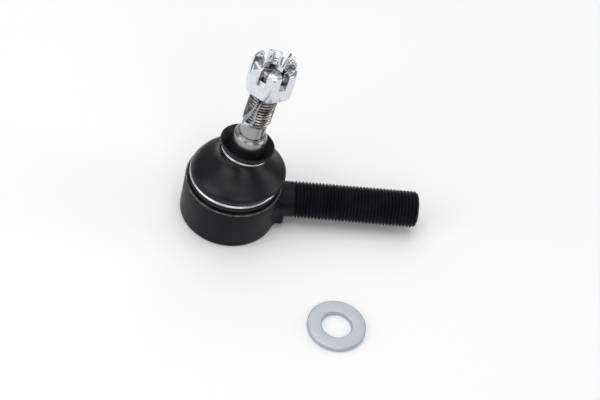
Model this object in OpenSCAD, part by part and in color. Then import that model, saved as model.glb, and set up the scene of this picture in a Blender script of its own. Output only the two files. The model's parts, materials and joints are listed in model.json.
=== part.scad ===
// Tie rod end: a forged housing with a threaded shank, a ball stud held in two seats,
// a dust boot with two wire rings, a castle nut, a split pin and a loose washer.
// Millimetres, +Z up along the housing axis, +X along the shank, origin at the ball centre.

/* [Housing] */
// Outside diameter of the round housing
housing_d = 42; // [40:0.5:44]
// Height of the housing's top rim above the ball centre
rim_z = 4.6; // [4:0.1:5.2]
// Depth of the housing's flat bottom below the ball centre
base_depth = 16.4; // [16.2:0.1:17.5]
// Outside diameter of the neck that the boot sits on
neck_d = 36.4; // [36:0.1:37]
// Height of the neck above the rim
neck_h = 5; // [4:0.1:5.4]
// Width of the square root block where the shank joins
root_w = 17; // [15:0.5:18]

/* [Shank] */
// Thread diameter of the shank
shank_d = 16; // [14:1:18]
// Thread pitch of the shank
shank_pitch = 1.5; // [1:0.25:2]
// Drop of the shank axis below the ball centre
shank_drop = 6; // [5:0.5:7]
// Distance from the housing axis to the first thread
shank_thread_start = 26; // [25.4:0.2:32]
// Distance from the housing axis to the shank's end
shank_end = 82; // [60:1:110]

/* [Ball stud] */
// Diameter of the ball
ball_d = 22; // [21:0.1:22.4]
// Diameter of the thin neck above the ball
stud_neck_d = 10.8; // [10:0.1:11.5]
// Diameter of the taper at its large end, inside the boot's lip
taper_large_d = 15.4; // [15:0.1:15.6]
// Diameter of the taper at its small end
taper_small_d = 14.2; // [13.6:0.1:14.4]
// Height of the taper's small end above the ball centre
taper_end = 31.2; // [30:0.1:33]
// Thread diameter of the stud
stud_d = 12; // [12:1:12]
// Thread pitch of the stud
stud_pitch = 1.5; // [1.25:0.25:1.75]
// Height of the stud's first thread above the ball centre
stud_thread_start = 38.2; // [36:0.2:40]
// Height of the stud's end above the ball centre
stud_end = 64; // [60:0.2:65]
// Height of the split pin's hole above the ball centre
pin_hole_h = 53; // [50:0.5:54]
// Diameter of the split pin's hole
pin_hole_d = 2.5; // [2.4:0.1:3.2]
// Lean of the stud towards the shank, as it stands
lean_x = 7; // [0:0.1:10]
// Lean of the stud away from the front, as it stands
lean_y = 7.2; // [0:0.1:10]

/* [Boot] */
// Outside diameter of the boot's foot
boot_d = 39.4; // [39:0.1:40]
// Outside diameter of the boot's open lip
lip_d = 23.9; // [23:0.1:24.4]
// Height of the lip's top above the ball centre, along the stud
lip_h = 25.3; // [25:0.1:26]
// Bulge of the dome to the side that the stud leans to
bulge = 3.1; // [0:0.1:3.4]
// Wire diameter of both rings
ring_wire = 0.6; // [0.5:0.1:0.7]

/* [Fasteners] */
// Width across the castle nut's flats
nut_af = 18; // [17.5:0.5:19]
// Height of the castle nut
nut_h = 13.6; // [13:0.1:14.5]
// Height of the nut's seat above the ball centre, along the stud
nut_seat = 56.3; // [55:0.1:58]
// Width of each slot in the nut
slot_w = 3.5; // [3.2:0.1:4]
// Depth of each slot in the nut
slot_depth = 7.4; // [5:0.1:7.6]
// Diameter of the closed split pin
pin_d = 2; // [1.8:0.1:2.3]
// Reach of the split pin's long leg past the stud axis
pin_reach = 31.3; // [26:0.1:34]
// Direction of the split pin around the stud, from the shank
pin_turn = 68; // [60:0.5:75]
// Outside diameter of the washer
washer_d = 25; // [24:0.5:26]
// Bore of the washer
washer_bore = 13; // [13:0.1:13.5]
// Thickness of the washer
washer_t = 2.3; // [2:0.1:2.5]

/* [Hidden] */
$fn = 96;
eps = 0.01;

fit = 0.05;                       // radial running clearance
ball_r = ball_d / 2;
base_z = -base_depth;
neck_top = rim_z + neck_h;
housing_r = housing_d / 2;
neck_r = neck_d / 2;
corner = 1;                       // broken edges of the forging
thread_depth = 0.6134;            // outer thread's depth as a share of its pitch
crest = 0.125;                    // crest's width as a share of the pitch

throat_r = 9.3;                   // opening that holds the ball down
throat_z = 6.4;                   // height of the throat's narrowest place
mouth_r = 11;                     // opening at the neck's top, which lets the stud swing
bowl_r = 14.5;                    // bore that holds the two seats
bowl_top = 1.5;                   // where the bore begins to narrow
cover_r = 15.8;
cover_t = 1.6;
crimp = 0.8;                      // thickness of the lip rolled over the cover
crimp_r = 14.2;
cover_z = base_z + crimp;
spring_z = cover_z + cover_t;
spring_h = 1.3;
spring_t = 0.7;
seat_floor = spring_z + spring_h;
seat_split = -0.6;                // gap between the two seats lies across the ball's middle

root_end = 24;                    // the root block ends short of the thread
root_top = 3.3;                   // flat top of the block, above the shank axis
root_low = 7.8;
collar_r = shank_d / 2 - 0.25;
end_chamfer = 1.2;

ring_groove = 0.7;                // depth of the groove round the boot's foot
ring_r = boot_d / 2 - ring_groove + ring_wire / 2;
ring_z = 7.6;
groove_h = 20.9;                  // upper groove's height, along the stud
groove_r = 10.1;
wall = 1.5;                       // thickness of the dome

washer_x = 45.9;
washer_y = -59.5;

// Puts children on the stud's own axis, as it leans at rest
module on_stud() {
    rotate([-lean_y, 0, 0]) rotate([0, lean_x, 0]) children();
}

// Outline of a threaded rod, half section, as ring grooves from a to b
function thread_outline(a, b, r, pitch) = [
    for (k = [0 : floor((b - a) / pitch) - 1])
    let (z = a + k * pitch, w = crest * pitch, root = r - thread_depth * pitch)
    each [[r, z], [r, z + w], [root, z + pitch / 2], [root, z + pitch / 2 + w]]
];

module housing_outline() {
    polygon([
        [0, base_z], [housing_r - corner, base_z], [housing_r, base_z + corner],
        [housing_r, rim_z - corner / 2], [housing_r - corner / 2, rim_z], [neck_r, rim_z],
        [neck_r, neck_top - 0.5], [neck_r - 0.5, neck_top], [0, neck_top]
    ]);
}

module housing_hollow() {
    polygon([
        [0, base_z - 1], [crimp_r, base_z - 1], [crimp_r, cover_z], [cover_r, cover_z],
        [cover_r, spring_z], [bowl_r, spring_z], [bowl_r, bowl_top], [throat_r, throat_z],
        [mouth_r, neck_top + eps], [0, neck_top + eps]
    ]);
}

module shank() {
    translate([0, 0, -shank_drop]) rotate([0, 90, 0]) rotate_extrude() polygon(concat(
        [[0, 10], [collar_r, 10], [collar_r, shank_thread_start - 1.2],
         [shank_d / 2 - 0.9, shank_thread_start - 0.4]],
        thread_outline(shank_thread_start, shank_end - end_chamfer, shank_d / 2, shank_pitch),
        [[shank_d / 2 - 0.35, shank_end - end_chamfer], [shank_d / 2 - 0.5 - end_chamfer, shank_end],
         [0, shank_end]]
    ));
}

// Forged block between the round housing and the shank
module root_block() {
    half = root_w / 2;
    from = 12;                    // inside the housing's wall
    translate([from, 0, -shank_drop]) rotate([90, 0, 90]) linear_extrude(root_end - from) polygon([
        [-half, -root_low + corner], [-half + corner, -root_low], [half - corner, -root_low],
        [half, -root_low + corner], [half, root_top - corner / 2], [half - corner / 2, root_top],
        [-half + corner / 2, root_top], [-half, root_top - corner / 2]
    ]);
}

module housing() {
    color([0.11, 0.12, 0.14]) difference() {
        union() {
            rotate_extrude() housing_outline();
            root_block();
            shank();
        }
        rotate_extrude() housing_hollow();
    }
}

// Upper half of the bearing: its outside follows the narrowing bore
module upper_seat() {
    color([0.85, 0.84, 0.78]) rotate_extrude() difference() {
        polygon([[8, seat_split + 0.3], [bowl_r, seat_split + 0.3], [bowl_r, bowl_top],
                 [throat_r + 0.4, throat_z - 0.4 * (throat_z - bowl_top) / (bowl_r - throat_r)],
                 [8, throat_z - 0.4]]);
        circle(r = ball_r + fit);
        square([throat_r - 0.1, ball_r]);
    }
}

module lower_seat() {
    color([0.85, 0.84, 0.78]) rotate_extrude() difference() {
        polygon([[3, seat_floor], [bowl_r - 1, seat_floor], [bowl_r, seat_floor + 1],
                 [bowl_r, seat_split - 0.3], [3, seat_split - 0.3]]);
        circle(r = ball_r + fit);
    }
}

// Shallow cone washer that presses the lower seat up
module disc_spring() {
    color([0.45, 0.46, 0.48]) rotate_extrude() polygon([
        [5, seat_floor - spring_t], [12.5, spring_z], [12.5, spring_z + spring_t], [5, seat_floor]
    ]);
}

module cover_plate() {
    color([0.6, 0.61, 0.63]) rotate_extrude() polygon([
        [0, cover_z + 0.5], [5.5, cover_z + 0.5], [6.5, cover_z], [cover_r, cover_z],
        [cover_r, spring_z], [0, spring_z]
    ]);
}

module stud_outline() {
    neck_r2 = stud_neck_d / 2;
    join = sqrt(ball_r * ball_r - neck_r2 * neck_r2);
    small_r = taper_small_d / 2;
    waist_r = stud_d / 2 - 0.65;  // plain length between the taper and the thread
    flat = 0.3;                   // depth of the flat under the ball
    difference() {
        union() {
            intersection() {
                circle(r = ball_r);
                translate([0, -ball_r]) square([ball_r, 2 * ball_r]);
            }
            polygon(concat(
                [[0, 0], [neck_r2 - 0.4, join - 1], [neck_r2, join + 0.6], [neck_r2, 13.5],
                 [neck_r2 + 0.7, 16], [taper_large_d / 2 - 0.3, 19], [taper_large_d / 2, 20],
                 [small_r, taper_end - 0.8], [small_r - 0.9, taper_end],
                 [waist_r + 0.2, taper_end], [waist_r, taper_end + 0.8],
                 [waist_r, stud_thread_start - 0.6]],
                thread_outline(stud_thread_start, stud_end - end_chamfer, stud_d / 2, stud_pitch),
                [[stud_d / 2 - 0.3, stud_end - end_chamfer], [stud_d / 2 - 1.6, stud_end], [0, stud_end]]
            ));
        }
        translate([0, -ball_r - 1]) square([ball_r, 1 + flat]);
    }
}

module ball_stud() {
    color([0.52, 0.51, 0.5]) on_stud() difference() {
        rotate_extrude() stud_outline();
        translate([0, 0, pin_hole_h]) rotate([0, 90, pin_turn]) 
            cylinder(h = 2 * stud_d, d = pin_hole_d, center = true);
    }
}

// Foot of the boot: a cuff around the housing's neck, with a groove for the wire ring
module boot_foot() {
    outer = boot_d / 2;
    inner = neck_r + fit;
    rotate_extrude() polygon([
        [inner, rim_z + fit], [outer - 0.4, rim_z + fit], [outer, rim_z + 0.6],
        [outer, ring_z - 0.6], [outer - ring_groove, ring_z - 0.4],
        [outer - ring_groove, ring_z + 2 * ring_wire - 0.2], [outer - 0.3, ring_z + 2 * ring_wire],
        [outer - 0.3, neck_top + 0.4], [inner, neck_top + 0.4]
    ]);
}

// One level of the dome: a thin disc, moved by its share of the bulge
module dome_level(height, radius, share) {
    translate([share * bulge, 0, height]) cylinder(h = 0.2, r = radius, $fn = 64);
}

// Dome from the foot up to the stud; grow below 0 gives the hollow inside it
module boot_dome(grow) {
    hull() {
        dome_level(neck_top - 0.2, boot_d / 2 - 0.5 + grow, 0);
        dome_level(neck_top + 0.3, boot_d / 2 - 0.4 + grow, 0.1);
        dome_level(11.7, 19 + grow, 0.68);
        dome_level(13.6, 16.7 + grow, 0.97);
        on_stud() translate([0, 0, groove_h - 1.7]) cylinder(h = 0.2, r = 10.8 + grow, $fn = 64);
    }
}

// Cup at the top, which the taper runs through
module boot_lip() {
    lip_r = lip_d / 2;
    on_stud() rotate_extrude() polygon([
        [taper_large_d / 2 + fit, groove_h - 2.6], [10.7, groove_h - 1.6], [groove_r - 0.3, groove_h - 0.4],
        [groove_r - 0.3, groove_h + 1], [10.9, groove_h + 1.4], [lip_r, lip_h - 0.6],
        [lip_r, lip_h], [lip_r - 0.8, lip_h], [8.4, 22.6], [taper_large_d / 2 + fit, 22.2]
    ]);
}

module dust_boot() {
    color([0.09, 0.09, 0.1]) {
        boot_foot();
        difference() {
            boot_dome(0);
            translate([0, 0, -wall / 3]) boot_dome(-wall);
            on_stud() cylinder(h = stud_end, r = taper_large_d / 2 + fit);
            cylinder(h = neck_top + 0.1, r = neck_r + 0.1);
        }
        boot_lip();
    }
}

// Two turns of wire, lying against each other
module wire_ring(r) {
    rotate_extrude() {
        translate([r, 0]) circle(d = ring_wire, $fn = 24);
        translate([r, ring_wire - 0.04]) circle(d = ring_wire, $fn = 24);
    }
}

module lower_ring() {
    color([0.8, 0.82, 0.85]) translate([0, 0, ring_z]) wire_ring(ring_r);
}

module upper_ring() {
    color([0.8, 0.82, 0.85]) on_stud() translate([0, 0, groove_h]) wire_ring(groove_r);
}

module castle_nut() {
    corner_r = nut_af / sqrt(3);
    nut_phase = -93.5;            // one corner faces the front
    color([0.84, 0.86, 0.88]) on_stud() translate([0, 0, nut_seat]) rotate(nut_phase) difference() {
        intersection() {
            cylinder(h = nut_h, r = corner_r, $fn = 6);
            rotate_extrude() polygon([
                [0, 0], [nut_af / 2 - 0.2, 0], [corner_r, 0.9], [corner_r, nut_h - 2.3],
                [corner_r - 0.8, nut_h - 0.7], [corner_r - 1.7, nut_h], [0, nut_h]
            ]);
        }
        translate([0, 0, -1]) cylinder(h = nut_h + 2, r = stud_d / 2 + fit);
        for (turn = [30 : 60 : 150]) rotate(turn)
            translate([-corner_r - 1, -slot_w / 2, nut_h - slot_depth])
            cube([2 * corner_r + 2, slot_w, slot_depth + 1]);
    }
}

// Split pin: two half-round legs, one longer, and an open eye
module split_pin() {
    pin_r = pin_d / 2;
    wire_r = pin_r / 2;
    eye_w = 4.6;                  // width of the eye between its outer sides
    eye_from = 13;
    eye_to = 24.5;
    widen = 3.2;                  // length over which the legs part
    shorter = 4.3;                // how much further the long leg reaches
    half = eye_w / 2 - wire_r;
    bend = eye_from - eye_to + half + wire_r;
    color([0.72, 0.76, 0.82]) on_stud() translate([0, 0, pin_hole_h]) rotate([0, 0, pin_turn]) {
        difference() {
            rotate([0, 90, 0]) translate([0, 0, -eye_from]) cylinder(h = pin_reach + eye_from, r = pin_r);
            translate([pin_reach - shorter, 0, -pin_r - 1]) cube([shorter + 1, pin_r + 1, 2 * pin_r + 2]);
        }
        translate([-eye_from, 0, 0]) {
            for (side = [-1, 1]) {
                hull() {
                    translate([wire_r / 2, side * wire_r, 0]) sphere(r = wire_r, $fn = 24);
                    translate([-widen, side * half, 0]) sphere(r = wire_r, $fn = 24);
                }
                hull() {
                    translate([-widen, side * half, 0]) sphere(r = wire_r, $fn = 24);
                    translate([bend, side * half, 0]) sphere(r = wire_r, $fn = 24);
                }
            }
            translate([bend, 0, 0]) rotate(90)
                rotate_extrude(angle = 180) translate([half, 0]) circle(r = wire_r, $fn = 24);
        }
    }
}

module washer() {
    color([0.74, 0.77, 0.82]) translate([washer_x, washer_y, base_z]) difference() {
        rotate_extrude() polygon([
            [0, 0], [washer_d / 2 - 0.3, 0], [washer_d / 2, 0.3], [washer_d / 2, washer_t - 0.4],
            [washer_d / 2 - 0.4, washer_t], [0, washer_t]
        ]);
        translate([0, 0, -1]) cylinder(h = washer_t + 2, r = washer_bore / 2);
    }
}

housing();
upper_seat();
lower_seat();
disc_spring();
cover_plate();
ball_stud();
dust_boot();
lower_ring();
upper_ring();
castle_nut();
split_pin();
washer();
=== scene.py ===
"""The finished look of a steering tie rod end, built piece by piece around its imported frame."""
import json
import math

import bmesh
import bpy
from mathutils import Matrix, Vector


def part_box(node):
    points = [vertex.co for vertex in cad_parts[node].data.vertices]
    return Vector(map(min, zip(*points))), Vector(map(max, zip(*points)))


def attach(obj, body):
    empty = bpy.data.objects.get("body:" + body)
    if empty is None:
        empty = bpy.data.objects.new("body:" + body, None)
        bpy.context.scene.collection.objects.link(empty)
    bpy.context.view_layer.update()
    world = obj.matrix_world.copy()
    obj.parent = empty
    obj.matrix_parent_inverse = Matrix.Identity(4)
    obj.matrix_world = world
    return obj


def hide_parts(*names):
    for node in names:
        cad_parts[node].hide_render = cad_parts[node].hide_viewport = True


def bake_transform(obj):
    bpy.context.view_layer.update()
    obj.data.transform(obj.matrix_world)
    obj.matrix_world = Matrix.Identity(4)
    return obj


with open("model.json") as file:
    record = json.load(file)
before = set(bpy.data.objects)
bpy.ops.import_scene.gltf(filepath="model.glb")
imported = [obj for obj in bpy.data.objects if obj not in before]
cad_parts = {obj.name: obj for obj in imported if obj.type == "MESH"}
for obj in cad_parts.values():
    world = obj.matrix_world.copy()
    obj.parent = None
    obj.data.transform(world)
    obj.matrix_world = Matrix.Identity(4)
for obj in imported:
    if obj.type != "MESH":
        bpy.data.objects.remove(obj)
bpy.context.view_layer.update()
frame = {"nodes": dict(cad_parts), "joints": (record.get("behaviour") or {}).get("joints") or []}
MM = 0.001

# ---------------------------------------------------------------------------------------------
# Sizes. All are in millimetres, in the frame whose origin is the ball's centre.
# ---------------------------------------------------------------------------------------------
JOINTS = {joint["name"]: joint for joint in frame["joints"]}
STUD_AXIS = Vector(JOINTS["stud_turn"]["axis"]).normalized()
PIN_AXIS = -Vector(JOINTS["pin_pull"]["axis"]).normalized()


def span(node):
    """Lowest and highest corner of a CAD node, in millimetres."""
    low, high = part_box(node)
    return low / MM, high / MM


HOUSING_LOW, HOUSING_HIGH = span("housing")
HOUSING_R = HOUSING_HIGH.y
BASE_Z = HOUSING_LOW.z
NECK_TOP = HOUSING_HIGH.z
SHANK_END = HOUSING_HIGH.x
COVER_Z = span("cover_plate")[0].z
COVER_TOP = span("cover_plate")[1].z
COVER_R = span("cover_plate")[1].y
WASHER_LOW, WASHER_HIGH = span("washer")

RIM_Z = 4.6
NECK_R = 18.2
BOWL_R = 14.5
THROAT_R = 9.3
THROAT_Z = 6.4
MOUTH_R = 11.0
CRIMP_R = 14.2
SHANK_DROP = 6.0
SHANK_R = 8.0
COLLAR_R = 7.7
THREAD_PITCH = 1.5
THREAD_START = 26.0
ROOT_END = 23.6

BALL_R = 11.0
STUD_R = 6.0
STUD_THREAD_START = 38.2
STUD_END = 64.0
CROWN_H = 0.6
TAPER_END = 31.2
PIN_HOLE_H = 53.0
PIN_HOLE_R = 1.25

WIRE_R = 0.3
LOWER_GROOVE_H = 7.6
LOWER_GROOVE_R = 19.3
UPPER_GROOVE_H = 20.9
UPPER_GROOVE_R = 10.1
DOME_LOW = 9.6
DOME_TOP = 19.4
LEAN_RISE = 10.4
BULGE = 3.1

NUT_SEAT = 56.3
NUT_H = 13.6
NUT_FLATS = 18.0
NUT_TURN = math.radians(-93.5)
SLOT_W = 3.5
SLOT_DEPTH = 7.4

PIN_R = 1.0
WASHER_BORE_R = 6.5

# The stud leans: the tilt across the shank is outside, the tilt along it is inside.
LEAN = (
    Matrix.Rotation(-math.atan2(STUD_AXIS.y, STUD_AXIS.z), 4, "X")
    @ Matrix.Rotation(math.asin(STUD_AXIS.x), 4, "Y")
)


# ---------------------------------------------------------------------------------------------
# Shapes
# ---------------------------------------------------------------------------------------------
def rounded(points, steps=4, closed=False):
    """A line through points with its corners rounded: a point is (a, b) or (a, b, radius)."""
    line = []
    count = len(points)
    for k, point in enumerate(points):
        corner = Vector(point[:2])
        radius = point[2] if len(point) > 2 else 0.0
        if radius == 0.0 or (not closed and k in (0, count - 1)):
            line.append(corner)
            continue
        before = Vector(points[k - 1][:2]) - corner
        after = Vector(points[(k + 1) % count][:2]) - corner
        half = before.angle(after) / 2
        reach = min(radius / math.tan(half), before.length * 0.49, after.length * 0.49)
        start = corner + before.normalized() * reach
        end = corner + after.normalized() * reach
        for step in range(steps + 1):
            t = step / steps
            line.append(start * (1 - t) ** 2 + corner * 2 * t * (1 - t) + end * t ** 2)
    return line


def bezier(start, pull_a, pull_b, end, steps):
    """Points of one cubic curve, both ends included."""
    a, b, c, d = map(Vector, (start, pull_a, pull_b, end))
    line = []
    for step in range(steps + 1):
        t = step / steps
        u = 1 - t
        line.append(a * u ** 3 + b * 3 * t * u * u + c * 3 * t * t * u + d * t ** 3)
    return line


def lathe(profile, columns=128, closed=False, place=None):
    """Turns a profile of (radius, height) about Z. place may say where each point goes instead."""
    place = place or (lambda r, h, angle: Vector((r * math.cos(angle), r * math.sin(angle), h)))
    points = [
        place(r, h, 2 * math.pi * column / columns) for r, h in profile for column in range(columns)
    ]
    rows = len(profile)
    faces = []
    for row in range(rows if closed else rows - 1):
        upper = (row + 1) % rows
        for column in range(columns):
            beside = (column + 1) % columns
            faces.append((
                row * columns + column,
                row * columns + beside,
                upper * columns + beside,
                upper * columns + column,
            ))
    return points, faces


# Depth of a thread through one pitch, from 0 on the crest to 1 in the root, flanks at 60 degrees
THREAD_FORM = [
    (0.0, 0.0), (0.045, 0.0), (0.075, 0.04), (0.25, 0.5), (0.42, 0.95), (0.46, 1.0),
    (0.54, 1.0), (0.58, 0.95), (0.75, 0.5), (0.925, 0.04), (0.955, 0.0),
]
THREAD_DEPTH = 0.6134


def thread(low, high, radius, pitch, limit, columns=96):
    """The surface of a helical thread between two heights. limit(radius, height) shapes its ends."""
    points, faces = [], []
    turns = math.ceil((high - low) / pitch) + 2
    form = len(THREAD_FORM)
    rows = turns * form
    for row in range(rows + 1):
        phase, depth = THREAD_FORM[row % form]
        for column in range(columns):
            height = low + (row // form + phase + column / columns - 1) * pitch
            height = min(max(height, low), high)
            r = limit(radius - depth * THREAD_DEPTH * pitch, height)
            angle = 2 * math.pi * column / columns
            points.append(Vector((r * math.cos(angle), r * math.sin(angle), height)))
    for row in range(rows):
        for column in range(columns):
            beside = column + 1
            climb = 0
            if beside == columns:
                beside = 0
                climb = form
            if row + climb >= rows:
                continue
            faces.append((
                row * columns + column,
                (row + climb) * columns + beside,
                (row + climb + 1) * columns + beside,
                (row + 1) * columns + column,
            ))
    return points, faces


def sweep(path, sides, section):
    """Carries a section of (side, up) offsets along a path; sides holds each point's side direction."""
    points, faces = [], []
    count = len(path)
    for k, spot in enumerate(path):
        ahead = path[min(k + 1, count - 1)]
        behind = path[max(k - 1, 0)]
        run = (ahead - behind).normalized()
        side = (sides[k] - run * sides[k].dot(run)).normalized()
        up = run.cross(side)
        points += [spot + side * a + up * b for a, b in section]
    width = len(section)
    for row in range(count - 1):
        for k in range(width):
            beside = (k + 1) % width
            faces.append((
                row * width + k,
                row * width + beside,
                (row + 1) * width + beside,
                (row + 1) * width + k,
            ))
    faces.append(tuple(reversed(range(width))))
    faces.append(tuple(range((count - 1) * width, count * width)))
    return points, faces


def solid(name, parts, finish=None, turn=None, sharp=32):
    """One mesh object from parts that meet edge to edge, in millimetres, turned by a matrix if given."""
    build = bmesh.new()
    for points, faces in parts:
        made = [build.verts.new((turn @ point if turn else point) * MM) for point in points]
        for face in faces:
            corners = [made[k] for k in face]
            if len({tuple(corner.co) for corner in corners}) > 2:
                build.faces.new(corners)
    bmesh.ops.remove_doubles(build, verts=build.verts, dist=2e-6)
    bmesh.ops.dissolve_degenerate(build, edges=build.edges, dist=1e-7)
    bmesh.ops.recalc_face_normals(build, faces=build.faces)
    mesh = bpy.data.meshes.new(name)
    build.to_mesh(mesh)
    build.free()
    piece = bpy.data.objects.new(name, mesh)
    bpy.context.scene.collection.objects.link(piece)
    if finish:
        mesh.materials.append(finish)
    mesh.shade_smooth()
    mesh.set_sharp_from_angle(angle=math.radians(sharp))
    return piece


def apply_modifiers(piece):
    """Keeps the mesh that the modifiers make, and removes them."""
    graph = bpy.context.evaluated_depsgraph_get()
    final = bpy.data.meshes.new_from_object(piece.evaluated_get(graph))
    piece.modifiers.clear()
    piece.data = final


def combine(piece, other, operation, sharp=32):
    """Joins, cuts or trims a piece with another solid, which is used up."""
    # Worked in millimetres, because the exact cut loses faces when sizes are in hundredths of a metre
    for item in (piece, other):
        item.data.transform(Matrix.Scale(1 / MM, 4))
    change = piece.modifiers.new("combine", "BOOLEAN")
    change.operation = operation
    change.solver = "EXACT"
    change.object = other
    apply_modifiers(piece)
    piece.data.transform(Matrix.Scale(MM, 4))
    bpy.data.objects.remove(other)
    piece.data.shade_smooth()
    piece.data.set_sharp_from_angle(angle=math.radians(sharp))


def break_edges(piece, width, segments=3, angle=32):
    """Rounds a piece's sharp edges."""
    bevel = piece.modifiers.new("broken edges", "BEVEL")
    bevel.width = width * MM
    bevel.segments = segments
    bevel.limit_method = "ANGLE"
    bevel.angle_limit = math.radians(angle)
    bevel.harden_normals = True
    apply_modifiers(piece)


# ---------------------------------------------------------------------------------------------
# Materials
# ---------------------------------------------------------------------------------------------
class Value:
    """A node's output. Arithmetic on it adds Math nodes."""

    def __init__(self, finish, socket):
        self.finish = finish
        self.socket = socket

    def __add__(self, other):
        return self.finish.maths("ADD", self, other)

    def __mul__(self, other):
        return self.finish.maths("MULTIPLY", self, other)

    def __truediv__(self, other):
        return self.finish.maths("DIVIDE", self, other)


class Finish:
    """One procedural material."""

    def __init__(self, name):
        self.material = bpy.data.materials.new(name)
        self.material.use_nodes = True
        self.tree = self.material.node_tree
        self.tree.nodes.clear()
        self.place = self.node("ShaderNodeTexCoord", output="Object")

    def node(self, kind, sockets=None, output=0, **settings):
        """Adds a node: its settings first, then the values or links of its sockets."""
        made = self.tree.nodes.new(kind)
        for key, value in settings.items():
            setattr(made, key, value)
        for key, value in (sockets or {}).items():
            if isinstance(key, int):
                target = made.inputs[key]
            else:
                target = next(s for s in made.inputs if s.enabled and s.name == key)
            if isinstance(value, Value):
                self.tree.links.new(value.socket, target)
            elif isinstance(value, tuple) and target.type == "RGBA":
                target.default_value = (*value, 1.0)
            else:
                target.default_value = value
        if isinstance(output, int):
            return Value(self, [s for s in made.outputs if s.enabled][output])
        return Value(self, made.outputs[output])

    def maths(self, operation, first, second):
        return self.node("ShaderNodeMath", {0: first, 1: second}, operation=operation)

    def vector_maths(self, operation, first, second, output="Vector"):
        return self.node("ShaderNodeVectorMath", {0: first, 1: second}, output, operation=operation)

    def noise(self, size, detail=3.0, roughness=0.5, at=None):
        """Noise whose blotches are about size millimetres."""
        sockets = {
            "Vector": at or self.place, "Scale": 1 / (size * MM), "Detail": detail, "Roughness": roughness,
        }
        return self.node("ShaderNodeTexNoise", sockets)

    def cells(self, size):
        """Distance to the nearest of scattered points about size millimetres apart."""
        return self.node("ShaderNodeTexVoronoi", {"Vector": self.place, "Scale": 1 / (size * MM)})

    def ramp(self, value, low, high):
        """0 below low and 1 above high, smooth between."""
        sockets = {"Value": value, "From Min": low, "From Max": high}
        return self.node("ShaderNodeMapRange", sockets, interpolation_type="SMOOTHSTEP")

    def mix(self, colour, other, amount):
        sockets = {"Factor": amount, "A": colour, "B": other}
        return self.node("ShaderNodeMix", sockets, data_type="RGBA")

    def bump(self, height, depth, strength):
        """A Bump node; height 0 to 1 stands for depth millimetres."""
        sockets = {"Height": height, "Strength": strength, "Distance": depth * MM}
        return self.node("ShaderNodeBump", sockets)

    def along(self, axis):
        """Distance along an axis through the ball's centre, in millimetres."""
        return self.vector_maths("DOT_PRODUCT", self.place, tuple(axis), "Value") / MM

    def away(self, axis):
        """Distance from an axis through the ball's centre, in millimetres."""
        cross = self.vector_maths("CROSS_PRODUCT", self.place, tuple(axis))
        return self.node("ShaderNodeVectorMath", {0: cross}, "Value", operation="LENGTH") / MM

    def turned(self, axis):
        """Coordinates that change along an axis and hardly round it, for marks left by turning."""
        spread = 0.03
        along = self.vector_maths("DOT_PRODUCT", self.place, tuple(axis), "Value")
        lift = self.node("ShaderNodeVectorMath", {0: tuple(axis), "Scale": along}, operation="SCALE")
        slight = self.node("ShaderNodeVectorMath", {0: self.place, "Scale": spread}, operation="SCALE")
        return self.vector_maths("ADD", lift, slight)

    def coordinate(self, letter):
        """One of X, Y and Z, in millimetres."""
        return self.node("ShaderNodeSeparateXYZ", {0: self.place}, letter) / MM

    def surface(self, **sockets):
        """The Principled shader; an underscore in a name stands for a space."""
        words = {key.replace("_", " "): value for key, value in sockets.items()}
        shader = self.node("ShaderNodeBsdfPrincipled", words)
        out = self.tree.nodes.new("ShaderNodeOutputMaterial")
        self.tree.links.new(shader.socket, out.inputs["Surface"])
        return self.material


def black_coat():
    """Satin black coat on forged steel: fine grain, dust specks, a worn rim and rust on the ledge."""
    f = Finish("black coat")
    height = f.coordinate("Z")
    out = f.away((0.0, 0.0, 1.0))
    blotch = f.noise(9.0, 4.0, 0.6)
    grain = f.noise(0.35, 3.0, 0.6)
    speck = f.ramp(f.cells(1.1), 0.16, 0.06) * f.ramp(f.noise(3.0), 0.5, 0.62)
    colour = f.mix((0.003, 0.003, 0.0046), (0.007, 0.0072, 0.011), f.ramp(blotch, 0.3, 0.7))
    colour = f.mix(colour, (0.09, 0.095, 0.105), speck * 0.5)
    near_top = f.ramp(height, RIM_Z - 0.5, RIM_Z - 0.15) * f.ramp(height, RIM_Z + 0.25, RIM_Z + 0.02)
    edge = near_top * f.ramp(out, HOUSING_R - 0.75, HOUSING_R - 0.45)
    worn = edge * (f.ramp(f.noise(3.5, 4.0, 0.7), 0.40, 0.66) * 0.55 + 0.35)
    ledge = near_top * f.ramp(out, HOUSING_R - 0.6, HOUSING_R - 0.9)
    ledge = ledge * f.ramp(out, NECK_R - 0.1, NECK_R + 0.1)
    rust = ledge * f.ramp(f.noise(5.0, 4.0, 0.6), 0.45, 0.70) * 0.7
    colour = f.mix(colour, (0.055, 0.030, 0.016), rust)
    metal = f.mix((0.16, 0.13, 0.12), (0.26, 0.25, 0.26), f.noise(2.4))
    bumps = grain * 0.7 + f.noise(1.8, 3.0) * 0.6
    return f.surface(
        Base_Color=f.mix(colour, metal, worn),
        Roughness=f.ramp(blotch, 0.2, 0.8) * 0.12 + 0.34 + grain * 0.08,
        Metallic=worn * 0.8,
        Normal=f.bump(bumps, 0.035, 0.5),
        Specular_IOR_Level=0.14,
    )


def boot_rubber():
    """Smooth moulded rubber with a faint bloom."""
    f = Finish("boot rubber")
    bloom = f.noise(14.0, 3.0, 0.55)
    skin = f.noise(0.6, 4.0, 0.6)
    dust = f.ramp(f.cells(1.6), 0.14, 0.05) * f.ramp(f.noise(4.0), 0.52, 0.66)
    colour = f.mix((0.003, 0.003, 0.0042), (0.007, 0.007, 0.0105), f.ramp(bloom, 0.3, 0.75))
    return f.surface(
        Base_Color=f.mix(colour, (0.08, 0.08, 0.085), dust * 0.4),
        Roughness=f.ramp(bloom, 0.2, 0.8) * 0.06 + 0.27 + skin * 0.05,
        Normal=f.bump(skin + f.noise(5.0) * 1.5, 0.02, 0.5),
        Specular_IOR_Level=0.3,
    )


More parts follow.
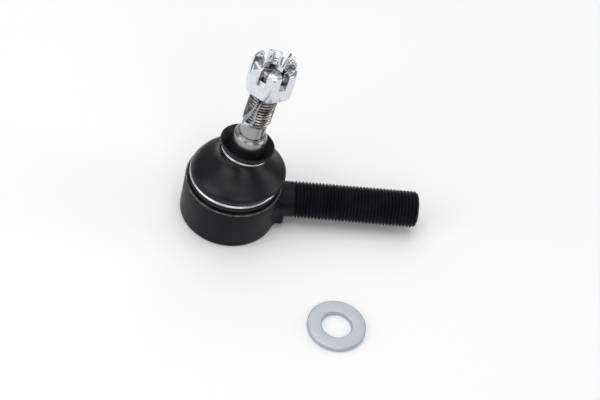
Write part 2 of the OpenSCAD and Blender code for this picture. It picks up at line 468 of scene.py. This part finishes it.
def stud_steel():
    """Turned steel: fine rings, a stained thread, and painted shade in the thread roots."""
    f = Finish("stud steel")
    height = f.along(STUD_AXIS)
    out = f.away(STUD_AXIS)
    rings = f.noise(0.22, 2.0, 0.7, f.turned(STUD_AXIS))
    threaded = f.ramp(height, STUD_THREAD_START - 1.0, STUD_THREAD_START + 0.6)
    below_crown = f.ramp(height, STUD_END - 0.9, STUD_END - 1.3)
    # Painted shade: below the crown, the thread roots are darkened almost to black.
    painted_root_shade = f.ramp(out, STUD_R - 0.05, STUD_R - 0.75) * threaded * below_crown
    stain_and_slot_shade = f.noise(3.5, 4.0, 0.6)
    colour = f.mix((0.27, 0.265, 0.27), (0.42, 0.415, 0.42), rings)
    oiled = f.mix((0.17, 0.16, 0.155), (0.62, 0.60, 0.59), f.ramp(stain_and_slot_shade, 0.42, 0.62))
    colour = f.mix(colour, oiled, threaded)
    colour = f.mix(colour, (0.028, 0.022, 0.018), painted_root_shade * 0.92)
    return f.surface(
        Base_Color=colour,
        Roughness=rings * 0.08 + 0.16 + stain_and_slot_shade * 0.06 + painted_root_shade * 0.15,
        Metallic=1.0,
        Normal=f.bump(rings, 0.012, 0.5),
    )


def zinc(name, colour, other, roughness, tint):
    """Bright zinc plating: a fine crystalline grain and a faint passivation tint."""
    f = Finish(name)
    grain = f.noise(0.5, 4.0, 0.65)
    patches = f.ramp(f.noise(4.0, 3.0, 0.6), 0.35, 0.7)
    shade = f.mix(colour, other, f.ramp(grain, 0.3, 0.7))
    return f.surface(
        Base_Color=f.mix(shade, tint, patches * 0.35),
        Roughness=grain * 0.12 + roughness + patches * 0.05,
        Metallic=1.0,
        Normal=f.bump(grain + f.noise(1.8) * 0.7, 0.02, 0.5),
    )


def drawn_wire():
    """Bright spring wire with faint drawing marks."""
    f = Finish("ring wire")
    marks = f.noise(0.15, 2.0, 0.6)
    return f.surface(
        Base_Color=f.mix((0.62, 0.63, 0.66), (0.86, 0.87, 0.89), marks),
        Roughness=marks * 0.1 + 0.16,
        Metallic=1.0,
        Normal=f.bump(marks, 0.006, 0.4),
    )


def bearing_plastic():
    """Ivory moulded bearing plastic with a grease film."""
    f = Finish("bearing plastic")
    cloud = f.noise(6.0, 3.0)
    return f.surface(
        Base_Color=f.mix((0.62, 0.58, 0.46), (0.72, 0.69, 0.58), cloud),
        Roughness=cloud * 0.2 + 0.3,
        Normal=f.bump(f.noise(0.8), 0.02, 0.4),
        Subsurface_Weight=0.1,
        Subsurface_Scale=0.002,
    )


def dark_spring():
    """Oiled, heat-treated spring steel."""
    f = Finish("spring steel")
    scale = f.noise(2.0, 5.0, 0.65)
    return f.surface(
        Base_Color=f.mix((0.10, 0.10, 0.11), (0.24, 0.22, 0.21), scale),
        Roughness=scale * 0.2 + 0.3,
        Metallic=0.9,
        Normal=f.bump(scale, 0.03, 0.4),
    )


def pressed_cover():
    """Plated cover with faint rings from the press and a few rubbed spots."""
    f = Finish("pressed cover")
    out = f.away((0.0, 0.0, 1.0))
    rings = f.node("ShaderNodeMath", {0: out * 9.0}, operation="SINE") * 0.5 + 0.5
    rub = f.ramp(f.noise(5.0, 4.0, 0.6), 0.4, 0.7)
    grain = f.noise(0.6, 3.0)
    return f.surface(
        Base_Color=f.mix((0.34, 0.34, 0.35), (0.52, 0.53, 0.55), rub * 0.7 + grain * 0.3),
        Roughness=rub * 0.12 + 0.28 + grain * 0.06,
        Metallic=1.0,
        Normal=f.bump(rings * 0.5 + grain, 0.015, 0.5),
    )


# ---------------------------------------------------------------------------------------------
# Pieces
# ---------------------------------------------------------------------------------------------
def ease(value):
    """0 to 1 with a soft start and end."""
    value = min(max(value, 0.0), 1.0)
    return value * value * (3 - 2 * value)


def housing(coat):
    """Round body with its hollow, forged root block and threaded shank, one piece."""
    shell = rounded([
        (CRIMP_R, BASE_Z, 0.3), (HOUSING_R, BASE_Z, 1.3), (HOUSING_R, RIM_Z, 0.5), (NECK_R, RIM_Z, 0.2),
        (NECK_R, NECK_TOP, 0.6), (MOUTH_R, NECK_TOP, 0.4), (THROAT_R, THROAT_Z, 0.4), (BOWL_R, 1.5),
        (BOWL_R, COVER_TOP), (COVER_R, COVER_TOP), (COVER_R, COVER_Z), (CRIMP_R, COVER_Z, 0.3),
    ], closed=True)
    body = solid("housing", [lathe(shell, 192, closed=True)], coat)
    combine(body, root_block(), "UNION")
    combine(body, shank(), "UNION")
    body.data.materials.clear()
    body.data.materials.append(coat)
    return body


def root_block():
    """Forged block: it flares into the round body and its outer end is rounded."""
    half, top, low = 8.5, 3.3, -7.8
    corners = rounded(
        [(-half, top, 0.6), (half, top, 0.6), (half, low, 1.0), (-half, low, 1.0)], 6, closed=True
    )
    longest_cut = 1.2
    outline = []
    for k, corner in enumerate(corners):
        edge = corners[(k + 1) % len(corners)] - corner
        cuts = max(1, round(edge.length / longest_cut))
        outline += [corner + edge * cut / cuts for cut in range(cuts)]
    # Rows of (distance out from the round body, size of the outline, x where it is fixed)
    flare, flare_steps = 1.6, 8
    nose, nose_steps = 0.9, 6
    rows = [(-2.5, 1.22, None)]
    for step in range(flare_steps + 1):
        bend = step / flare_steps * math.pi / 2
        run = 0.03 + flare * (1 - math.cos(bend))
        rise = flare * (1 - math.sin(bend))
        rows.append((run, 1 + rise / half, None))
    for step in range(nose_steps + 1):
        bend = step / nose_steps * math.pi / 2
        rows.append((0, 1 - nose * (1 - math.cos(bend)) / half, ROOT_END - nose + nose * math.sin(bend)))
    points, faces = [], []
    for run, grow, fixed in rows:
        for side, up in outline:
            y = side * grow
            x = fixed if fixed is not None else math.sqrt(HOUSING_R ** 2 - y * y) + run
            points.append(Vector((x, y, up * grow - SHANK_DROP)))
    width = len(outline)
    for row in range(len(rows) - 1):
        for k in range(width):
            beside = (k + 1) % width
            faces.append((
                row * width + k,
                row * width + beside,
                (row + 1) * width + beside,
                (row + 1) * width + k,
            ))
    faces.append(tuple(range(width)))
    faces.append(tuple(reversed(range((len(rows) - 1) * width, len(rows) * width))))
    return solid("root block", [(points, faces)])


def shank():
    """Plain collar, fine thread with a faded start, and a rounded end with its centre mark."""
    columns = 96
    nose = 1.9
    fade = 1.3 * THREAD_PITCH
    inside = 17.0
    mark_r, mark_depth = 1.7, 1.6

    def limit(radius, height):
        start = ease((height - THREAD_START) / fade)
        shaped = COLLAR_R + (radius - COLLAR_R) * start
        past = max(height - (SHANK_END - nose), 0.0)
        return min(shaped, SHANK_R - nose + math.sqrt(max(nose ** 2 - past ** 2, 0.0)))

    turn = Matrix.Translation((0, 0, -SHANK_DROP)) @ Matrix.Rotation(math.pi / 2, 4, "Y")
    collar = [(0, inside), (COLLAR_R, inside), (COLLAR_R, THREAD_START)]
    face = [
        (SHANK_R - nose, SHANK_END), (mark_r, SHANK_END),
        (0.2, SHANK_END - mark_depth), (0, SHANK_END - mark_depth),
    ]
    return solid("shank", [
        lathe(collar, columns),
        thread(THREAD_START, SHANK_END, SHANK_R, THREAD_PITCH, limit, columns),
        lathe(face, columns),
    ], turn=turn)


def cross_hole():
    """What the drill removes for the split pin: a bar right through the stud."""
    reach = 9
    bar = [(0, -reach), (PIN_HOLE_R, -reach), (PIN_HOLE_R, reach), (0, reach)]
    aim = PIN_AXIS.to_track_quat("Z", "Y").to_matrix().to_4x4()
    turn = Matrix.Translation(STUD_AXIS * PIN_HOLE_H) @ aim
    return solid("cross hole", [lathe(bar, 40)], turn=turn)


def ball_stud(steel):
    """Ball, waisted neck, ground taper, undercut and thread, with the cross hole drilled."""
    columns = 96
    flat = -BALL_R + 0.3
    neck = 5.4
    thread_root = 5.0
    start, stop = math.asin(flat / BALL_R), math.acos(neck / BALL_R)
    ball = []
    for k in range(41):
        angle = start + (stop - start) * k / 40
        ball.append((BALL_R * math.cos(angle), BALL_R * math.sin(angle)))
    ball_and_flat = [(0, flat), (ball[0][0] - 0.2, flat)] + ball
    waist = rounded([
        tuple(ball[-1]), (neck, 14.0, 3.0), (7.45, 18.6, 1.2), (7.7, 20.0, 0.6),
        (7.14, TAPER_END - 0.9, 0.4), (6.3, TAPER_END, 0.4), (5.9, TAPER_END, 0.2),
        (5.6, TAPER_END - 0.3, 0.2), (5.35, TAPER_END, 0.3), (5.35, STUD_THREAD_START - 0.6, 0.4),
        (thread_root, STUD_THREAD_START),
    ], 5)
    tip = 4.4
    tip_h = STUD_END - CROWN_H

    def limit(radius, height):
        entry = thread_root + max(height - STUD_THREAD_START, 0) * 1.1
        return min(radius, entry, tip + (tip_h - height) * 0.9)

    crown = bezier((tip, tip_h), (3.6, STUD_END - 0.1), (2.0, STUD_END), (0, STUD_END), 8)
    piece = solid("ball_stud", [
        lathe(ball_and_flat, columns),
        lathe(waist, columns),
        thread(STUD_THREAD_START, tip_h, STUD_R, THREAD_PITCH, limit, columns),
        lathe(crown, columns),
    ], steel, LEAN)
    combine(piece, cross_hole(), "DIFFERENCE")
    return piece


def boot_place(radius, height, angle):
    """Foot square to the housing, top square to the stud, and the dome bulging to the side it leans to."""
    flat = Vector((radius * math.cos(angle), radius * math.sin(angle), height))
    share = min(max((height - DOME_LOW) / (DOME_TOP - DOME_LOW), 0), 1)
    spot = flat.lerp(LEAN @ flat, ease((height - DOME_LOW) / LEAN_RISE))
    return spot + Vector((BULGE * 4 * share * (1 - share), 0, 0))


def boot_halves(rubber):
    """Two closed rings that meet on one circle in the dome."""
    foot = rounded([
        (18.25, RIM_Z + 0.1), (19.6, RIM_Z + 0.1, 0.5), (19.7, 6.9, 0.3), (19.0, 7.15, 0.2),
        (19.0, 8.6, 0.2), (19.4, 8.9, 0.4), (19.2, 10.0),
    ], 5)
    dome = bezier((19.2, 10.0), (20.7, 13.2), (14.2, 13.5), (10.9, DOME_TOP), 40)
    lining = bezier((17.9, 9.9), (19.0, 12.5), (12.8, 12.9), (9.4, 17.9), 40)
    lip = rounded([
        (10.9, DOME_TOP), (9.8, 20.2, 0.5), (9.8, 21.9, 0.3), (10.6, 22.2, 0.5), (11.8, 24.0, 1.4),
        (11.95, 25.2, 0.4), (11.3, 25.3, 0.25), (10.4, 24.4, 0.8), (8.6, 22.9, 0.8), (7.6, 22.2, 0.2),
        (7.72, 20.0, 0.4), (9.4, 17.9),
    ], 5)
    seam = 27
    lower = foot + dome[1:seam + 1] + lining[:seam + 1][::-1] + [Vector((18.25, 9.7))]
    upper = dome[seam:] + lip[1:] + lining[seam:-1][::-1]
    columns = 160
    return [
        solid("boot_lower", [lathe(lower, columns, True, boot_place)], rubber, sharp=50),
        solid("boot_upper", [lathe(upper, columns, True, boot_place)], rubber, sharp=50),
    ]


def wire_ring(name, finish, radius, height, turns, start, turn=None):
    """Spring wire wound round the boot, turn against turn, with cut ends."""
    per_turn = 120
    sides_of_wire = 16
    rise = WIRE_R * 2.02
    path, sides = [], []
    for step in range(int(turns * per_turn) + 1):
        wound = step / per_turn
        angle = start + wound * 2 * math.pi
        out = Vector((math.cos(angle), math.sin(angle), 0))
        path.append(out * radius + Vector((0, 0, height + wound * rise)))
        sides.append(out)
    section = []
    for k in range(sides_of_wire):
        angle = 2 * math.pi * k / sides_of_wire
        section.append((WIRE_R * math.cos(angle), WIRE_R * math.sin(angle)))
    return solid(name, [sweep(path, sides, section)], finish, turn, sharp=60)


def castle_nut(plate, stain_and_slot_shade):
    """Hexagon with broken corners, six slots, rounded teeth and a thread inside the crown."""
    corner = NUT_FLATS / math.sqrt(3)
    turn = LEAN @ Matrix.Translation((0, 0, NUT_SEAT)) @ Matrix.Rotation(NUT_TURN, 4, "Z")
    outer, inner = corner + 0.1, 5.0
    mould = [(inner, 0), (9.2, 0), (outer, 0.6), (outer, NUT_H - 2.9)]
    mould += bezier(
        (outer, NUT_H - 2.9), (corner - 0.1, NUT_H - 1.5), (corner - 0.9, NUT_H - 0.2), (8.3, NUT_H), 10
    )
    mould.append((inner, NUT_H))
    # Turned a little, so that no column of the mould lies in a face of the hexagon
    slight = Matrix.Rotation(0.02, 4, "Z")
    nut = solid("castle_nut", [lathe(mould, 144, closed=True)], plate, slight)
    combine(nut, hexagon_bar(corner), "INTERSECT")
    for slot in range(3):
        spin = Matrix.Rotation(math.radians(30 + 60 * slot), 4, "Z")
        combine(nut, slot_cutter(corner + 1, spin), "DIFFERENCE")
    break_edges(nut, 0.28, 3, 24)
    combine(nut, nut_bore(), "DIFFERENCE", 28)
    nut.data.materials.clear()
    nut.data.materials.append(plate)
    nut.data.materials.append(stain_and_slot_shade)
    # Painted shade: the slot walls get the second, far darker zinc.
    for face in nut.data.polygons:
        middle = face.center / MM
        out = Vector((middle.x, middle.y, 0)).normalized()
        in_slot = NUT_H - SLOT_DEPTH - 0.1 < middle.z < NUT_H - 0.5 and middle.xy.length > STUD_R + 0.3
        if in_slot and abs(face.normal.dot(out)) < 0.62 and abs(face.normal.z) < 0.9:
            face.material_index = 1
    turn.translation *= MM
    nut.data.transform(turn)
    return nut


def hexagon_bar(corner):
    """A six-sided bar, a little longer than the nut at both ends."""
    hexagon = []
    for k in range(6):
        angle = math.radians(60 * k)
        hexagon.append((corner * math.cos(angle), corner * math.sin(angle)))
    points = [Vector((x, y, z)) for z in (-1, NUT_H + 1) for x, y in hexagon]
    faces = [(k, (k + 1) % 6, (k + 1) % 6 + 6, k + 6) for k in range(6)]
    faces += [(5, 4, 3, 2, 1, 0), (6, 7, 8, 9, 10, 11)]
    return solid("hexagon bar", [(points, faces)])


def slot_cutter(reach, turn):
    """The box that cuts two opposite slots."""
    half = SLOT_W / 2
    outline = [(-reach, -half), (reach, -half), (reach, half), (-reach, half)]
    points = [Vector((x, y, z)) for z in (NUT_H - SLOT_DEPTH, NUT_H + 1) for x, y in outline]
    faces = [(0, 1, 2, 3), (4, 7, 6, 5), (0, 4, 5, 1), (1, 5, 6, 2), (2, 6, 7, 3), (3, 7, 4, 0)]
    return solid("slot", [(points, faces)], turn=turn)


def nut_bore():
    """What the tap removes: plain where the stud fills it, threaded above the stud's end."""
    plain = STUD_R + 0.05
    low, high = STUD_END - NUT_SEAT + 0.3, NUT_H - 0.4
    wide = 6.3

    def limit(radius, height):
        entered = ease((height - low) / 0.6)
        return max(plain + (radius - plain) * entered, wide - (high - height) * 1.2)

    columns = 72
    below = [(0, -1), (6.7, -1), (6.7, 0), (plain, 0.6), (plain, low)]
    above = [(wide, high), (6.8, NUT_H), (6.8, NUT_H + 2), (0, NUT_H + 2)]
    return solid("bore", [
        lathe(below, columns),
        thread(low, high, STUD_R + 0.12, THREAD_PITCH, limit, columns),
        lathe(above, columns),
    ])


def split_pin(plate):
    """Half-round wire doubled back on itself: a long leg, an eye, and a short leg."""
    gap = 0.04
    eye = 1.25
    eye_neck, eye_wide, eye_end = -12.5, -19.5, -23.4
    long_leg, short_leg = 31.3, 27.0
    spread_start, spread = 18.0, 1.3
    route = rounded([
        (long_leg, -gap), (eye_neck, -gap, 5.0), (eye_wide, -eye, 5.0), (eye_end, -eye, eye),
        (eye_end, eye, eye), (eye_wide, eye, 5.0), (eye_neck, gap, 5.0),
        (spread_start, gap, 4.0), (short_leg, spread),
    ], 10)
    path = [Vector((x, y, 0)) for x, y in route]
    sides = []
    for k in range(len(path)):
        run = (path[min(k + 1, len(path) - 1)] - path[max(k - 1, 0)]).normalized()
        sides.append(Vector((0, 0, 1)).cross(run))
    section = [(0, -PIN_R * 0.9)]
    for k in range(13):
        angle = math.radians(-84 + 168 * k / 12)
        section.append((PIN_R * math.cos(angle), PIN_R * math.sin(angle)))
    section.append((0, PIN_R * 0.9))
    across = STUD_AXIS.cross(PIN_AXIS)
    aim = Matrix((PIN_AXIS, across, STUD_AXIS)).transposed().to_4x4()
    turn = Matrix.Translation(STUD_AXIS * PIN_HOLE_H) @ aim
    return solid("split_pin", [sweep(path, sides, section)], plate, turn, sharp=40)


def washer(plate):
    """Stamped flat washer: rolled over on its upper edges, crisp below."""
    radius = (WASHER_HIGH.x - WASHER_LOW.x) / 2
    middle = (WASHER_LOW + WASHER_HIGH) / 2
    thick = WASHER_HIGH.z - WASHER_LOW.z
    section = rounded([
        (WASHER_BORE_R, 0, 0.15), (radius, 0, 0.2), (radius, thick, 0.5), (WASHER_BORE_R, thick, 0.45),
    ], 5, closed=True)
    turn = Matrix.Translation((middle.x, middle.y, WASHER_LOW.z))
    return solid("washer_plated", [lathe(section, 160, closed=True)], plate, turn)


# ---------------------------------------------------------------------------------------------
# Setting
# ---------------------------------------------------------------------------------------------
def floor():
    """A plain pale floor at the height the housing stands on."""
    f = Finish("pale floor")
    tone = f.mix((0.93, 0.93, 0.935), (0.95, 0.95, 0.95), f.noise(400.0))
    paper = f.surface(Base_Color=tone, Roughness=0.9, Specular_IOR_Level=0.1)
    reach = 2000.0
    outline = [(-reach, -reach), (reach, -reach), (reach, reach), (-reach, reach)]
    corners = [Vector((x, y, BASE_Z)) for x, y in outline]
    sheet = solid("floor", [(corners, [(0, 1, 2, 3)])], paper)


def camera():
    """Seen from the front, high up and turned a little, through a long lens."""
    azimuth, elevation, roll = math.radians(-12.48), math.radians(49.52), math.radians(14.43)
    aim = Vector((34.47, 18.47, -28.36)) * MM
    distance = 898.6 * MM
    back = Vector((
        math.sin(azimuth) * math.cos(elevation),
        -math.cos(azimuth) * math.cos(elevation),
        math.sin(elevation),
    ))
    level = Vector((math.cos(azimuth), math.sin(azimuth), 0))
    rise = back.cross(level)
    right = level * math.cos(roll) + rise * math.sin(roll)
    up = rise * math.cos(roll) - level * math.sin(roll)
    data = bpy.data.cameras.new("camera")
    data.lens = 120
    data.sensor_width = 36
    data.clip_start = 0.01
    eye = bpy.data.objects.new("camera", data)
    bpy.context.scene.collection.objects.link(eye)
    turn = Matrix((right, up, back)).transposed().to_4x4()
    eye.matrix_world = Matrix.Translation(aim + back * distance) @ turn
    bpy.context.scene.camera = eye


def softbox(name, place, size, power):
    """A rectangular area light, sized and placed in millimetres, aimed at the object."""
    data = bpy.data.lights.new(name, "AREA")
    data.shape = "RECTANGLE"
    data.size, data.size_y = size[0] * MM, size[1] * MM
    data.energy = power
    lamp = bpy.data.objects.new(name, data)
    bpy.context.scene.collection.objects.link(lamp)
    lamp.location = Vector(place) * MM
    look = Vector((15, 0, 10)) * MM - lamp.location
    lamp.rotation_mode = "QUATERNION"
    lamp.rotation_quaternion = look.to_track_quat("-Z", "Y")


def studio():
    """Soft light from overhead and from all four sides, in a dim white room."""
    world = bpy.data.worlds.new("studio")
    bpy.context.scene.world = world
    world.use_nodes = True
    world.node_tree.nodes["Background"].inputs["Color"].default_value = (1, 1, 1, 1)
    world.node_tree.nodes["Background"].inputs["Strength"].default_value = 0.30
    softbox("overhead", (-100, 0, 1300), (1000, 1000), 7.0)
    softbox("left", (-900, -350, 600), (900, 900), 3.9)
    softbox("front", (120, -1000, 900), (800, 600), 2.6)
    softbox("back", (0, 900, 1000), (1400, 1000), 4.0)
    softbox("right", (1000, 0, 500), (600, 600), 1.8)
    bpy.context.scene.view_settings.view_transform = "Standard"


def ride(piece, body, node):
    """Fixes a piece to its body in place of its CAD node."""
    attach(piece, body)
    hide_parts(node)


def main():
    coat = black_coat()
    rubber = boot_rubber()
    wire = drawn_wire()
    steel = stud_steel()
    nut_plate = zinc("bright zinc", (0.60, 0.62, 0.65), (0.86, 0.87, 0.88), 0.15, (0.60, 0.63, 0.65))
    # A far darker copy of the zinc for the nut's slot walls: painted shade in the slots.
    nut_slot_shade = zinc(
        "zinc with painted slot shade", (0.055, 0.065, 0.055), (0.17, 0.185, 0.165), 0.30, (0.05, 0.08, 0.065)
    )
    washer_plate = zinc("washer zinc", (0.42, 0.45, 0.49), (0.54, 0.56, 0.59), 0.32, (0.46, 0.49, 0.54))
    pin_plate = zinc("pin zinc", (0.36, 0.39, 0.43), (0.54, 0.57, 0.60), 0.22, (0.38, 0.44, 0.49))

    ride(housing(coat), "housing_group", "housing")
    ride(ball_stud(steel), "stud", "ball_stud")
    ride(castle_nut(nut_plate, nut_slot_shade), "nut", "castle_nut")
    ride(split_pin(pin_plate), "pin", "split_pin")
    ride(washer(washer_plate), "washer", "washer")

    lower_coil = wire_ring(
        "lower_ring_wire", wire, LOWER_GROOVE_R, LOWER_GROOVE_H, 2.06, math.radians(-40)
    )
    ride(lower_coil, "housing_group", "lower_ring")
    upper_coil = wire_ring(
        "upper_ring_wire", wire, UPPER_GROOVE_R, UPPER_GROOVE_H, 2.1, math.radians(40), LEAN
    )
    ride(upper_coil, "boot_top", "upper_ring")

    lower, upper = boot_halves(rubber)
    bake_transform(lower)
    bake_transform(upper)
    for half in (lower, upper):
        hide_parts("dust_boot")

    hidden = {
        "upper_seat": bearing_plastic(), "lower_seat": bearing_plastic(),
        "disc_spring": dark_spring(), "cover_plate": pressed_cover(),
    }
    for node, finish in hidden.items():
        for slot in frame["nodes"][node].material_slots:
            slot.material = finish

    floor()
    studio()
    camera()


main()
